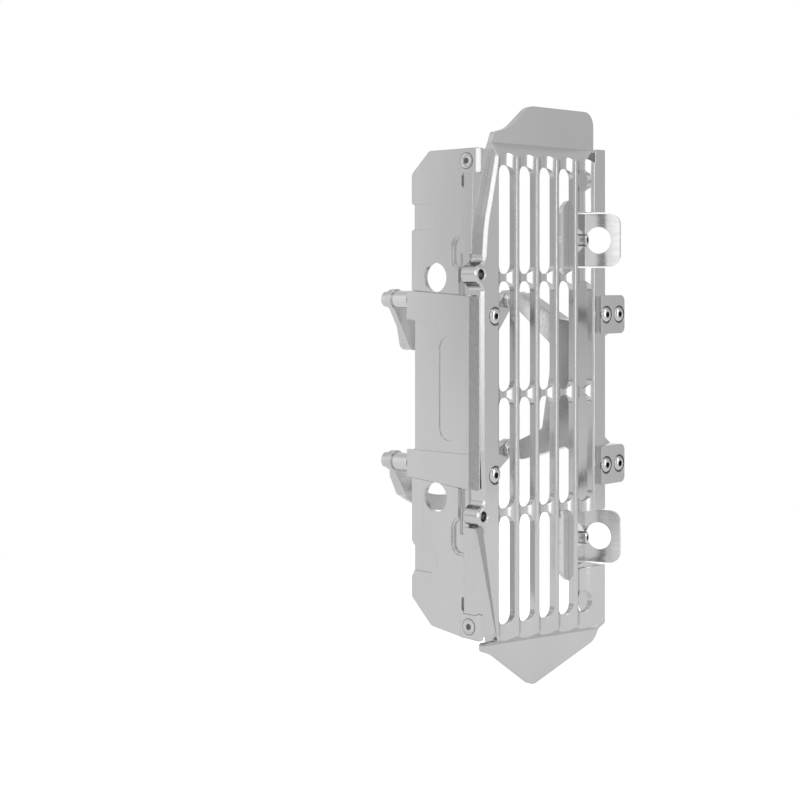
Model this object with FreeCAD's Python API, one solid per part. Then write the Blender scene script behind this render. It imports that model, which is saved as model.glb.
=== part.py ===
import FreeCAD, Part
import math
import os
from FreeCAD import Vector

# Bolt-on guard for one radiator of an off-road motorcycle: a machined aluminium
# grille in front of the core, a flat side plate, an outer brace, a claw on the
# frame side and two arched arms that close the cage behind the core.
# Millimetres. X runs across the grille from its outer edge to the frame side,
# Y runs to the rear and Z is up. Every piece is drawn from the grille's outer
# front corner, then moved so that the upper tab's hole is the origin.

# Grille plate
GRILLE_WIDTH = 106.4
PLATE_THICK = 4.0
COLUMN_COUNT = 5
FIRST_COLUMN_X = 20.75
LAST_COLUMN_MARGIN = 17.65
RIB_WIDTH = 4.0
SLOT_END_FLAT = 2.2
SLOT_SIDE_FLAT = 0.5
COLUMN_PITCH = (GRILLE_WIDTH - LAST_COLUMN_MARGIN - FIRST_COLUMN_X) / (COLUMN_COUNT - 1)
SLOT_WIDTH = COLUMN_PITCH - RIB_WIDTH
SLOT_END_RADIUS = (SLOT_WIDTH - SLOT_END_FLAT) / 2
RIB_FRONT_WIDTH = 1.9
CHANNEL_DEPTH = 2.0
BEVEL = 1.55

# Slot rows: level at x = 0 and rise per millimetre of x, top edge then bottom edge
SLOT_ROWS = [((50.5, 0.0), (-6.5, -0.002)),
             ((-10.3, -0.003), (-67.6, -0.023)),
             ((-70.7, -0.028), (-128.6, -0.039)),
             ((-132.5, -0.040), (-189.0, -0.047))]
SMALL_HOLE_HEIGHT = 11.3

# Stepped top and bottom edges: the sheet steps back, then runs on as a flap
STEP_TOP_Z = 55.0
STEP_TOP_DEPTH = 7.6
FLAP_THICK = 2.6
FLAP_TOP_Z = 83.7
STEP_LOW_Z = -195.3
STEP_LOW_RISE = 3.8
STEP_LOW_DEPTH = 4.3
STEP_LOW_SLOPE = 0.062
FLAP_TIP_Z = -227.0

# Outer wall, rail and frame-side flange. The wall's edge is given in X and Z, top to bottom.
UPPER_EDGE = [(15.6, 61.5), (12.4, 54.9), (9.7, 44.1), (7.3, 33.7), (4.5, 23.3), (3.0, 14.5), (2.1, 3.7)]
LOWER_EDGE = [(1.6, -121.0), (3.2, -141.0), (14.1, -197.0), (14.8, -204.0)]
WALL_EDGE_X = 0.4
WALL_DEPTH = 10.0
RAIL_DEPTH = 14.5
RAIL_INNER_X = 11.5
FLANGE_THICK = 3.0
FLANGE_DEPTH = 16.5
FLANGE_TOP_Z = 62.4
MARGIN_CORNER_X = GRILLE_WIDTH - 9.1

# Bosses on the outer wall
BOSS_RADIUS = 5.2
BOSS_BEVEL = 1.0
BOSS_HOLLOW = 4.0
BOSS_HOLE_RADIUS = 2.5
BOSS_CENTRES = [(0.1, -6.7), (2.0, -131.4)]

# Side plate
SIDE_OUTER_X = -1.8
SIDE_THICK = 2.6
SIDE_DEPTH = 47.3
SIDE_FRONT_Y = 10.4
SIDE_TOP_Z = 58.6
SIDE_HOLE_RADIUS = 7.8
SIDE_HOLES = [(30.6, -8.4), (30.4, -123.6)]
SIDE_SCREWS = [(8.1, 51.9), (6.6, -188.2)]
LUG_RAISE = 1.0
LUG_BEVEL = 1.8

# Outer brace
BRACE_OUTER_X = -3.2
BRACE_THICK = 2.4
BRACE_FRONT_Y = 6.2
BRACE_DEPTH = 50.0
BRACE_WAIST_Y = 44.5
BRACE_RECESS = 0.9
RAIL_TOP_Z = -18.0
RAIL_LOW_Z = -117.6
RAIL_GAP = 0.5
# Edges of the two bands: level at the front and level at the rear
BAND_EDGES = [((RAIL_TOP_Z, -15.5), (-36.0, -30.3)), ((-99.5, -99.7), (RAIL_LOW_Z, -114.1))]
SEAT_CLEARANCE = 0.4
BLOCK_INNER_X = 6.2
BLOCK_FRONT_Y = 42.5
BLOCK_LEVELS = [(-30.0, -16.2), (-113.8, -100.0)]
BLOCK_CLEARANCE = 0.2
PAD_CENTRE = (21.0, -66.2)
PAD_LENGTH = 54.5
PAD_WIDTH = 13.0
PAD_DEPTH = 0.5

# Screws that hold the brace, through the grille's margin
MARGIN_SCREWS = [(10.8, -28.4), (10.8, -110.8)]
M5_RADIUS = 2.5
M5_HEAD_RADIUS = 4.5
HEAD_SINK = 1.0
HEAD_ROOM = 0.5
M4_RADIUS = 2.0
FIT = 0.1

# Ears and claw on the frame side
EAR_LEVELS = [-29.4, -113.2]
EAR_HEIGHT = 21.4
EAR_LEFT_X = GRILLE_WIDTH - 6.6
EAR_RIGHT_X = GRILLE_WIDTH + 15.1
EAR_FRONT_Y = -2.5
EAR_BACK_Y = 7.7
EAR_SCREW_X = [GRILLE_WIDTH - 1.8, GRILLE_WIDTH + 10.0]
EAR_SCREW_LENGTHS = [9.0, 19.0]
FOOT_INNER_X = GRILLE_WIDTH + 1.0
CLAW_THICK = 9.0
CLAW_BEND_Y = 20.0
CLAW_BEND_ANGLE = 18.0
CLAW_END_Y = 57.3
CLAW_ARM_HEIGHT = 11.7

# Arched arms: two end links lapped on an arch, on four spacers
ARM_THICK = 3.5
CLAW_EYE_X = GRILLE_WIDTH - 1.4
BRACE_EYE_X = 1.5
CLAW_EYE_LEVELS = [-22.0, -109.2]
BRACE_EYE_LEVELS = [-20.3, -107.2]
BRACE_LINK_Y = 61.0
EYE_RADIUS = 5.6
EYE_SCREW_HEAD = 4.2
EYE_THREAD = 6.0
SPACER_RADIUS = 4.7
ARCH_WIDTH = 8.4

# Tabs
TAB_SHEET = 2.3
TAB_LEVELS = [12.1, -153.6]
TAB_HEIGHT = 29.4
TAB_BASE_HEIGHT = 43.0
TAB_SETBACK = 23.4
TAB_BASE_REACH = 11.5
TAB_ROOT_X = GRILLE_WIDTH - TAB_SETBACK
TAB_BASE_X = TAB_ROOT_X - TAB_BASE_REACH
TAB_BEND = (TAB_ROOT_X + 21.825, 14.574)
TAB_LEAF_ANGLE = 73.0
TAB_LEAF_LENGTH = 22.8
TAB_HOLE_FROM_BEND = 10.2
TAB_HOLE_RADIUS = 7.5
TAB_CLEARANCE = 0.8
TAB_NOTCH_X = TAB_ROOT_X - 0.75
TAB_SCREW_ALONG = 12.5
TAB_SCREW_RADIUS = 2.0
TAB_NUT_THICK = 3.2


def leaf_point(level, along, lift=0.0):
    """A point on a tab's leaf: a distance from the bend, and a lift off its rear face."""
    turn = math.radians(TAB_LEAF_ANGLE)
    x = TAB_BEND[0] + along * math.cos(turn) - lift * math.sin(turn)
    y = TAB_BEND[1] - along * math.sin(turn) - lift * math.cos(turn)
    return Vector(x, y, level)


ORIGIN = leaf_point(TAB_LEVELS[0], TAB_HOLE_FROM_BEND, TAB_SHEET / 2)


def place_in(plane, offset):
    """Map a flat point (a, b) into the XZ, YZ or XY plane at the given offset."""
    if plane == "XZ":
        return lambda a, b: Vector(a, offset, b)
    if plane == "YZ":
        return lambda a, b: Vector(offset, a, b)
    return lambda a, b: Vector(a, b, offset)


def outline(corners, plane, offset):
    """Closed wire through corners (a, b) or (a, b, radius), rounded where a radius is given."""
    place = place_in(plane, offset)
    count = len(corners)
    runs = []
    for i in range(count):
        corner = corners[i]
        here = Vector(corner[0], corner[1], 0)
        radius = corner[2] if len(corner) > 2 else 0
        before = Vector(corners[i - 1][0], corners[i - 1][1], 0) - here
        after = Vector(corners[(i + 1) % count][0], corners[(i + 1) % count][1], 0) - here
        before.normalize()
        after.normalize()
        if radius == 0:
            runs.append((here, here, here))
            continue
        half = math.acos(max(-1.0, min(1.0, before.dot(after)))) / 2
        reach = radius / math.tan(half)
        inward = before + after
        inward.normalize()
        middle = here + inward * (radius / math.sin(half) - radius)
        runs.append((here + before * reach, middle, here + after * reach))
    edges = []
    for i in range(count):
        start, middle, end = [place(p.x, p.y) for p in runs[i]]
        if start.distanceToPoint(end) > 1e-6:
            edges.append(Part.Arc(start, middle, end).toShape())
        following = runs[(i + 1) % count][0]
        following = place(following.x, following.y)
        if end.distanceToPoint(following) > 1e-6:
            edges.append(Part.LineSegment(end, following).toShape())
    return Part.Wire(edges)


def slab(corners, plane, low, high):
    """Flat plate with the given outline, from low to high on the axis across its plane."""
    axis = {"XZ": Vector(0, 1, 0), "YZ": Vector(1, 0, 0), "XY": Vector(0, 0, 1)}[plane]
    return Part.Face(outline(corners, plane, low)).extrude(axis * (high - low))


def block(x, y, z):
    """Box between the low and high of each axis."""
    size = [x[1] - x[0], y[1] - y[0], z[1] - z[0]]
    return Part.makeBox(size[0], size[1], size[2], Vector(x[0], y[0], z[0]))


def rod(start, axis, radius, length):
    return Part.makeCylinder(radius, length, start, axis)


def hexagon(start, axis, across_flats, length):
    """Hexagonal prism for a driver socket or a nut."""
    reach = across_flats / math.sqrt(3)
    angles = [math.radians(60 * k) for k in range(7)]
    prism = Part.Face(Part.makePolygon([Vector(reach * math.cos(t), reach * math.sin(t), 0) for t in angles]))
    prism = prism.extrude(Vector(0, 0, length))
    prism.Placement = FreeCAD.Placement(start, FreeCAD.Rotation(Vector(0, 0, 1), axis))
    return prism


def countersink(face, out, head_radius, hole_radius, depth, sink=0.0):
    """Cone under a flush head, its counterbore and the hole behind it. 'out' points out of the face."""
    into = out * -1
    seat = face + into * sink
    head = Part.makeCone(head_radius, hole_radius, head_radius - hole_radius, seat, into)
    room = rod(seat, out, head_radius + (HEAD_ROOM if sink else 0), 5)
    return head.fuse(rod(face, into, hole_radius, depth)).fuse(room)


def flush_screw(face, out, head_radius, radius, length, socket, sink=0.0):
    """Countersunk socket screw with its head at the given depth under the face."""
    into = out * -1
    seat = face + into * sink
    screw = Part.makeCone(head_radius - FIT, radius, head_radius - radius, seat, into)
    screw = screw.fuse(rod(seat, into, radius - FIT, length)).removeSplitter()
    return screw.cut(hexagon(seat + into * 2.2, out, socket, 5))


def cap_screw(seat, out, head_radius, head_height, radius, length, socket):
    """Socket-head cap screw: head on the seat, shank running the other way."""
    screw = rod(seat, out, head_radius, head_height)
    rim = [e for e in screw.Edges if abs((e.BoundBox.Center - seat).dot(out) - head_height) < 1e-3]
    screw = screw.makeChamfer(0.5, rim)
    screw = screw.fuse(rod(seat, out * -1, radius - FIT, length)).removeSplitter()
    return screw.cut(hexagon(seat + out * (head_height - 2.6), out, socket, 5))


def row_level(edge, x):
    return edge[0] + edge[1] * x


def column_x(index):
    return FIRST_COLUMN_X + COLUMN_PITCH * index


def wall_outline():
    """Outer edge of the grille in X and Z, top to bottom."""
    return UPPER_EDGE + [(WALL_EDGE_X, -18.0), (WALL_EDGE_X, -98.0)] + LOWER_EDGE


def wall_x(level):
    """The outer edge's X at a level."""
    edge = wall_outline()
    for (ax, az), (bx, bz) in zip(edge, edge[1:]):
        if bz <= level <= az:
            return ax + (bx - ax) * (level - az) / (bz - az)
    return WALL_EDGE_X


def fold_low_z(x):
    """Level of the lower fold, where the step meets the flap."""
    return STEP_LOW_Z - STEP_LOW_RISE - STEP_LOW_SLOPE * x


def stepped_sheet():
    """The grille's skin: plate, and at each end a step back and a flap."""
    cos45 = math.sqrt(0.5)
    top_fold = STEP_TOP_Z + STEP_TOP_DEPTH
    shift = FLAP_THICK * (1 / cos45 - 1)
    top = [(0, -100), (0, STEP_TOP_Z), (STEP_TOP_DEPTH, top_fold), (STEP_TOP_DEPTH, FLAP_TOP_Z),
           (STEP_TOP_DEPTH + FLAP_THICK, FLAP_TOP_Z), (STEP_TOP_DEPTH + FLAP_THICK, top_fold - shift),
           (PLATE_THICK, top_fold - shift - STEP_TOP_DEPTH - FLAP_THICK + PLATE_THICK),
           (PLATE_THICK, -100)]
    sheet = slab(top, "YZ", -10, GRILLE_WIDTH)
    slope = math.atan2(STEP_LOW_RISE, STEP_LOW_DEPTH)
    shift = FLAP_THICK * (1 / math.cos(slope) - math.tan(slope))
    lift = (STEP_LOW_DEPTH + FLAP_THICK - PLATE_THICK) * math.tan(slope)
    low = [(0, 120), (0, STEP_LOW_RISE), (STEP_LOW_DEPTH, 0), (STEP_LOW_DEPTH, -40),
           (STEP_LOW_DEPTH + FLAP_THICK, -40), (STEP_LOW_DEPTH + FLAP_THICK, shift),
           (PLATE_THICK, shift + lift), (PLATE_THICK, 120)]
    tail = slab(low, "YZ", -20, GRILLE_WIDTH + 20)
    tail.rotate(Vector(0, 0, 0), Vector(0, 1, 0), math.degrees(math.atan(STEP_LOW_SLOPE)))
    tail.translate(Vector(0, 0, fold_low_z(0)))
    return sheet.fuse(tail).removeSplitter()


def sheet_outline():
    """Front outline of the whole grille sheet, with both flaps."""
    right = GRILLE_WIDTH
    top_flap = [(right - 0.7, FLANGE_TOP_Z), (right - 0.7, FLAP_TOP_Z, 8),
                (47.8, FLAP_TOP_Z, 14), (30.4, 70.7, 22), (18.6, 68.0, 2.5), (16.6, FLANGE_TOP_Z + 0.6)]
    low_flap = [(14.1, -197.9), (5.6, -198.2, 1.4), (5.6, -202.2, 2.2), (14.5, -205.6, 20),
                (46.6, FLAP_TIP_Z, 9), (102.2, -211.6, 11), (right, -205.2)]
    return top_flap + wall_outline()[1:-1] + low_flap + [(right, STEP_TOP_Z)]


def outer_wall():
    """Wall behind the bevelled outer edge, and the rail that the side plate sits against."""
    inner = RAIL_INNER_X
    high, low = RAIL_TOP_Z + RAIL_GAP, RAIL_LOW_Z - RAIL_GAP
    upper = UPPER_EDGE + [(wall_x(high), high), (inner, high), (inner, 30.0, 20), (18.5, STEP_TOP_Z + 6.5)]
    lower = [(inner, low), (wall_x(low), low)] + LOWER_EDGE[:-1]
    lower = lower + [(14.6, -202.0), (17.5, -202.0), (inner, -165.0, 20)]
    side = SIDE_OUTER_X + SIDE_THICK
    wall = slab(upper, "XZ", PLATE_THICK / 2, WALL_DEPTH)
    wall = wall.fuse(slab(lower, "XZ", PLATE_THICK / 2, WALL_DEPTH))
    upper_rail = [(side, SIDE_TOP_Z), (side, high), (inner, high), (inner, 30.0, 20), (17.0, SIDE_TOP_Z)]
    lower_rail = [(side, low), (side, -194.0), (16.8, -197.0), (inner, -165.0, 20), (inner, low)]
    wall = wall.fuse(slab(upper_rail, "XZ", WALL_DEPTH - 0.5, RAIL_DEPTH))
    wall = wall.fuse(slab(lower_rail, "XZ", WALL_DEPTH - 0.5, RAIL_DEPTH))
    # Wedges in front of the stepped edges are open.
    deep = 40
    top_wedge = [(-1, STEP_TOP_Z - 1), (deep - 1, STEP_TOP_Z - 1 + deep), (-1, STEP_TOP_Z - 1 + deep)]
    wall = wall.cut(slab(top_wedge, "YZ", -20, 40))
    fall = STEP_LOW_RISE / STEP_LOW_DEPTH
    base = STEP_LOW_Z - STEP_LOW_SLOPE * RAIL_INNER_X
    low_wedge = [(0, base), (deep, base - fall * deep), (0, base - fall * deep)]
    wall = wall.cut(slab(low_wedge, "YZ", -20, 40))
    # Blocks that take the side plate's corner screws.
    for y, z in SIDE_SCREWS:
        wall = wall.fuse(block((side, 6.4), (y - 2.4, RAIL_DEPTH), (z - 6.2, z + 6.2)))
    # Lightening channel in the rail's rear face.
    channel = [(3.6, 44.0, 2), (3.6, -184.0, 2), (8.4, -184.0, 2), (8.4, 44.0, 2)]
    return wall.cut(slab(channel, "XZ", RAIL_DEPTH - 3.0, RAIL_DEPTH + 1))


def bevel_wedges():
    """Wedges that cut the bright bevel down the outer front edge."""
    cutters = []
    edge = wall_outline()
    for (ax, az), (bx, bz) in zip(edge, edge[1:]):
        start, end = Vector(ax, 0, az), Vector(bx, 0, bz)
        along = end - start
        along.normalize()
        outward = along.cross(Vector(0, -1, 0))
        start = start - along * 3
        corners = []
        for out, back in ((-BEVEL - 1, -1), (1, BEVEL + 1), (1, -1)):
            corners.append(start + outward * out + Vector(0, back, 0))
        face = Part.Face(Part.makePolygon(corners + corners[:1]))
        cutters.append(face.extrude(end + along * 3 - start))
    return cutters


def slot(index, high, low):
    """One slot of a column, between a top and a bottom row edge."""
    left = column_x(index) - SLOT_WIDTH / 2
    right = left + SLOT_WIDTH
    r = min(SLOT_END_RADIUS, (high[0] - low[0] - SLOT_SIDE_FLAT) / 2)
    corners = [(left, high[0], r), (right, high[1], r), (right, low[1], r), (left, low[0], r)]
    return slab(corners, "XZ", -5, 12)


def slots():
    cutters = []
    for index in range(COLUMN_COUNT):
        left = column_x(index) - SLOT_WIDTH / 2
        right = left + SLOT_WIDTH
        for row, (top, bottom) in enumerate(SLOT_ROWS):
            high = [row_level(top, left), row_level(top, right)]
            low = [row_level(bottom, left), row_level(bottom, right)]
            last = index == COLUMN_COUNT - 1
            if last and row == 0:
                low = [z - SMALL_HOLE_HEIGHT for z in high]
            if last and row == len(SLOT_ROWS) - 1:
                high = [z + SMALL_HOLE_HEIGHT for z in low]
            cutters.append(slot(index, high, low))
    return cutters


def channels():
    """Shallow round-bottomed channels down the front of every column."""
    chord = COLUMN_PITCH - RIB_FRONT_WIDTH
    radius = (chord * chord / 4 + CHANNEL_DEPTH ** 2) / (2 * CHANNEL_DEPTH)
    cutters = []
    for index in range(COLUMN_COUNT):
        start = Vector(column_x(index), CHANNEL_DEPTH - radius, -215)
        cutters.append(rod(start, Vector(0, 0, 1), radius, 280))
    return cutters


def flange():
    """Frame-side flange, running back from the grille's inner edge."""
    low = fold_low_z(GRILLE_WIDTH)
    side = [(0, FLANGE_TOP_Z, 1.5), (9.5, FLANGE_TOP_Z, 3), (FLANGE_DEPTH, 54.5, 3), (FLANGE_DEPTH, -194.0, 3),
            (9.0, low + 1.0, 3), (STEP_LOW_DEPTH, low), (0, low + STEP_LOW_RISE)]
    return slab(side, "YZ", GRILLE_WIDTH - FLANGE_THICK, GRILLE_WIDTH)


def ear(level):
    """Block on the front edge that the claw is bolted to."""
    half = EAR_HEIGHT / 2
    corners = [(EAR_LEFT_X, level + half, 1), (EAR_RIGHT_X, level + half, 3.5),
               (EAR_RIGHT_X, level - half, 3.5), (EAR_LEFT_X, level - half, 1)]
    piece = slab(corners, "XZ", EAR_FRONT_Y, EAR_BACK_Y)
    return piece


def lobe_outline(centre, level, inset, depth):
    """Outline of a boss that runs into the wall through a round hollow above and below it."""
    radius, hollow, wall = BOSS_RADIUS - inset, BOSS_HOLLOW + inset, inset
    back = RAIL_INNER_X - 2
    points = []
    for side in (1, -1):
        edge = wall_x(level + side * 8) + wall
        middle = Vector(edge - hollow, depth, 0)
        run = math.sqrt((radius + hollow) ** 2 - (middle.x - centre) ** 2)
        middle.z = level + side * run
        hub = Vector(centre, depth, level)
        meet = hub + (middle - hub) * (radius / (radius + hollow))
        turn = (meet - middle) + (Vector(edge, depth, middle.z) - middle)
        turn.normalize()
        points.append((Vector(edge, depth, middle.z), middle + turn * hollow, meet))
    (top, top_mid, top_meet), (low, low_mid, low_meet) = points
    nose = Vector(centre - radius, depth, level)
    edges = [Part.Arc(top, top_mid, top_meet), Part.Arc(top_meet, nose, low_meet), Part.Arc(low_meet, low_mid, low)]
    edges.append(Part.LineSegment(low, Vector(back, depth, low.z)))
    edges.append(Part.LineSegment(Vector(back, depth, low.z), Vector(back, depth, top.z)))
    edges.append(Part.LineSegment(Vector(back, depth, top.z), top))
    return Part.Wire([edge.toShape() for edge in edges])


def boss(centre, level):
    """Boss with a bevelled front edge, as deep as the wall."""
    front = lobe_outline(centre, level, BOSS_BEVEL, 0)
    full = lobe_outline(centre, level, 0, BOSS_BEVEL)
    piece = Part.makeLoft([front, full], True, True)
    return piece.fuse(Part.Face(full).extrude(Vector(0, WALL_DEPTH - BOSS_BEVEL, 0)))


def tab_notch(level):
    """Opening in plate and flange that a tab passes through."""
    half = TAB_HEIGHT / 2 + TAB_CLEARANCE
    return block((TAB_NOTCH_X, GRILLE_WIDTH + 1), (-1, FLANGE_DEPTH + 1), (level - half, level + half))


def ear_screw_faces():
    return [Vector(x, EAR_FRONT_Y, level) for level in EAR_LEVELS for x in EAR_SCREW_X]


def front_grille():
    body = stepped_sheet().common(slab(sheet_outline(), "XZ", -1, 20))
    body = body.cut(bevel_wedges())
    corner = [(MARGIN_CORNER_X, 0), (GRILLE_WIDTH, 0), (GRILLE_WIDTH, STEP_TOP_DEPTH + 1),
              (GRILLE_WIDTH - 0.7, STEP_TOP_DEPTH + 1)]
    body = body.fuse([outer_wall(), flange(), slab(corner, "XY", STEP_TOP_Z - 4, FLANGE_TOP_Z)])
    body = body.fuse([boss(x, level) for x, level in BOSS_CENTRES])
    body = body.cut(channels())
    for level in EAR_LEVELS:
        body = body.fuse(ear(level))
    body = body.cut(slots())
    out = Vector(0, -1, 0)
    holes = [tab_notch(level) for level in TAB_LEVELS]
    for x, level in BOSS_CENTRES:
        holes.append(rod(Vector(x, -1, level), Vector(0, 1, 0), BOSS_HOLE_RADIUS, WALL_DEPTH - 1.0))
        holes.append(Part.makeCone(BOSS_HOLE_RADIUS + 0.6, BOSS_HOLE_RADIUS, 0.6, Vector(x, 0, level), out * -1))
    for x, level in MARGIN_SCREWS:
        holes.append(countersink(Vector(x, 0, level), out, M5_HEAD_RADIUS, M5_RADIUS, PLATE_THICK + 1, HEAD_SINK))
    for face in ear_screw_faces():
        depth = EAR_BACK_Y - EAR_FRONT_Y + (1 if face.x > GRILLE_WIDTH else 0)
        holes.append(countersink(face, out, M5_HEAD_RADIUS, M5_RADIUS, depth, HEAD_SINK))
    for y, z in SIDE_SCREWS:
        holes.append(rod(Vector(-5, y, z), Vector(1, 0, 0), M4_RADIUS, 25))
    return body.cut(holes).removeSplitter()


def side_plate():
    """Flat outer plate beside the core, screwed to the grille's rail at two corner lugs."""
    back = SIDE_DEPTH
    front = SIDE_FRONT_Y
    lug = 0.0
    (upper_y, upper_z), (lower_y, lower_z) = SIDE_SCREWS
    notch = BLOCK_FRONT_Y - BLOCK_CLEARANCE
    (high_low, high_top), (low_low, low_top) = BLOCK_LEVELS
    edge = [(lug, SIDE_TOP_Z, 1), (34.8, SIDE_TOP_Z - 0.4, 3), (back, 46.4, 3),
            (back, 31.0, 1), (back - 1.2, 29.6, 1), (back - 1.2, 17.4, 1), (back, 16.0, 1),
            (back, high_top + BLOCK_CLEARANCE), (notch, high_top + BLOCK_CLEARANCE),
            (notch, high_low - BLOCK_CLEARANCE), (BRACE_WAIST_Y, high_low - BLOCK_CLEARANCE),
            (BRACE_WAIST_Y, low_top + BLOCK_CLEARANCE), (notch, low_top + BLOCK_CLEARANCE),
            (notch, low_low - BLOCK_CLEARANCE), (back, low_low - BLOCK_CLEARANCE),
            (back, -148.0, 1), (back - 1.4, -150.0, 1), (back - 1.4, -165.0, 1), (back, -167.0, 1),
            (back, -178.0, 3), (33.4, -191.6, 3), (12.0, -194.6), (lug, -195.2, 1),
            (lug, lower_z + 6.8, 1), (12.4, lower_z + 6.8, 2), (12.4, lower_z + 14.6, 1.2), (front, lower_z + 14.6, 0.7),
            (front, -141.5), (RAIL_DEPTH + FIT, -141.5), (RAIL_DEPTH + FIT, 4.0), (front, 4.0),
            (front, upper_z - 13.6, 0.7), (12.4, upper_z - 13.6, 1.2), (12.4, upper_z - 6.2, 2), (lug, upper_z - 6.2, 1)]
    plate = slab(edge, "YZ", SIDE_OUTER_X, SIDE_OUTER_X + SIDE_THICK)
    # Shallow rounded pockets at the rear edge.
    for centre in (23.5, -157.0):
        corners = [(29.5, centre + 6.8, 5), (60, centre + 6.8), (60, centre - 6.8), (29.5, centre - 6.8, 5)]
        plate = plate.cut(slab(corners, "YZ", SIDE_OUTER_X - 1, SIDE_OUTER_X + 1.0))
    # Pockets beside the bosses.
    for low, high in ((-3.2, 12.2), (-151.2, -134.2)):
        for grow, depth in ((0.0, 1.6), (1.2, 0.6)):
            far = 18.2 + grow
            corners = [(0, high + grow), (far, high + grow, 4.5 + grow), (far, low - grow, 4.5 + grow), (0, low - grow)]
            plate = plate.cut(slab(corners, "YZ", SIDE_OUTER_X - 1, SIDE_OUTER_X + depth))
    # Step that the brace lies in.
    seat = [(0, band_level(0, 0, 0) + SEAT_CLEARANCE), (back + 5, band_level(0, 0, back + 5) + SEAT_CLEARANCE),
            (back + 5, band_level(1, 1, back + 5) - SEAT_CLEARANCE), (0, band_level(1, 1, 0) - SEAT_CLEARANCE)]
    plate = plate.cut(slab(seat, "YZ", SIDE_OUTER_X - 1, BRACE_OUTER_X + BRACE_THICK))
    for y, z in SIDE_HOLES:
        plate = plate.cut(rod(Vector(-10, y, z), Vector(1, 0, 0), SIDE_HOLE_RADIUS, 20))
    for y, z in SIDE_SCREWS:
        corners = [(lug, z + 6.2, 1), (12.4, z + 6.2, 1), (12.4, z - 6.2, 1), (lug, z - 6.2, 1)]
        plate = plate.fuse(slab(corners, "YZ", SIDE_OUTER_X - LUG_RAISE, SIDE_OUTER_X))
        nose = SIDE_OUTER_X - LUG_RAISE
        bevel = [(nose - 1, lug - 1), (nose + LUG_BEVEL + 1, lug - 1), (nose - 1, lug + LUG_BEVEL + 1)]
        plate = plate.cut(slab(bevel, "XY", z - 8, z + 8))
        plate = plate.cut(countersink(Vector(nose, y, z), Vector(-1, 0, 0), 4.3, M4_RADIUS, 10))
    return plate.removeSplitter()


def band_level(band, edge, y):
    """Level of a band's upper (0) or lower (1) edge at a depth y."""
    front, rear = BAND_EDGES[band][edge]
    return front + (rear - front) * (y - BRACE_FRONT_Y) / (BRACE_DEPTH - BRACE_FRONT_Y)


def side_brace():
    """Outer brace: two bands joined by a recessed waist, a rail behind the grille's margin and rear blocks."""
    skin = BRACE_OUTER_X + BRACE_THICK
    inner = RAIL_INNER_X
    edge = WALL_EDGE_X - FIT
    plan = [(BRACE_OUTER_X, BRACE_FRONT_Y), (edge, BEVEL), (edge, PLATE_THICK), (inner, PLATE_THICK),
            (inner, RAIL_DEPTH), (skin, RAIL_DEPTH), (skin, BRACE_DEPTH), (BRACE_OUTER_X, BRACE_DEPTH, 0.8)]
    brace = slab(plan, "XY", RAIL_LOW_Z, RAIL_TOP_Z + 4)
    front, rear = -1.0, BRACE_DEPTH + 5
    shape = [(front, RAIL_TOP_Z), (BRACE_FRONT_Y, RAIL_TOP_Z), (rear, band_level(0, 0, rear)),
             (rear, band_level(0, 1, rear)), (BRACE_WAIST_Y, band_level(0, 1, BRACE_WAIST_Y), 1.5),
             (BRACE_WAIST_Y, band_level(1, 0, BRACE_WAIST_Y), 1.5), (rear, band_level(1, 0, rear)),
             (rear, band_level(1, 1, rear)), (BRACE_FRONT_Y, RAIL_LOW_Z), (front, RAIL_LOW_Z)]
    brace = brace.common(slab(shape, "YZ", BRACE_OUTER_X - 1, inner + 1))
    for low, high in BLOCK_LEVELS:
        foot = [(skin - 0.5, BLOCK_FRONT_Y), (BLOCK_INNER_X - 3, BLOCK_FRONT_Y), (BLOCK_INNER_X, BLOCK_FRONT_Y + 3),
                (BLOCK_INNER_X, BRACE_DEPTH), (skin - 0.5, BRACE_DEPTH)]
        brace = brace.fuse(slab(foot, "XY", low, high))
    # Recess between the bands, with a plain rounded panel in it.
    edge = BRACE_FRONT_Y + 1.5
    recess = [(edge, band_level(0, 1, edge)), (rear, band_level(0, 1, rear)),
              (rear, band_level(1, 0, rear)), (edge, band_level(1, 0, edge))]
    floor = BRACE_OUTER_X + BRACE_RECESS
    brace = brace.cut(slab(recess, "YZ", BRACE_OUTER_X - 1, floor))
    y, z = PAD_CENTRE
    half, long_half = PAD_WIDTH / 2, PAD_LENGTH / 2
    r = half - 0.01
    pad = [(y - half, z + long_half, r), (y + half, z + long_half, r),
           (y + half, z - long_half, r), (y - half, z - long_half, r)]
    brace = brace.cut(slab(pad, "YZ", floor - 1, floor + PAD_DEPTH))
    # Rail: bosses for the margin screws and a lightening channel behind.
    for x, level in MARGIN_SCREWS:
        brace = brace.fuse(rod(Vector(x, PLATE_THICK, level), Vector(0, 1, 0), M5_HEAD_RADIUS, 9.0))
    channel = [(3.6, -42.0, 2), (3.6, -97.0, 2), (8.4, -97.0, 2), (8.4, -42.0, 2)]
    brace = brace.cut(slab(channel, "XZ", RAIL_DEPTH - 3.0, RAIL_DEPTH + 1))
    for x, level in MARGIN_SCREWS:
        brace = brace.cut(rod(Vector(x, 0, level), Vector(0, 1, 0), M5_RADIUS, 11.5))
    for level in BRACE_EYE_LEVELS:
        brace = brace.cut(rod(Vector(BRACE_EYE_X, BRACE_DEPTH + 1, level), Vector(0, -1, 0), M5_RADIUS, 20))
    return brace.removeSplitter()


def claw_plan():
    """Plan section of the claw: straight at the feet, then bent inward."""
    lean = math.tan(math.radians(CLAW_BEND_ANGLE))
    inner = EAR_RIGHT_X - CLAW_THICK
    run = (CLAW_END_Y - CLAW_BEND_Y) * lean
    return [(inner, EAR_BACK_Y), (EAR_RIGHT_X, EAR_BACK_Y), (EAR_RIGHT_X, CLAW_BEND_Y, 18),
            (EAR_RIGHT_X - run, CLAW_END_Y), (inner - run, CLAW_END_Y), (inner, CLAW_BEND_Y - 1.4, 10)]


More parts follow.
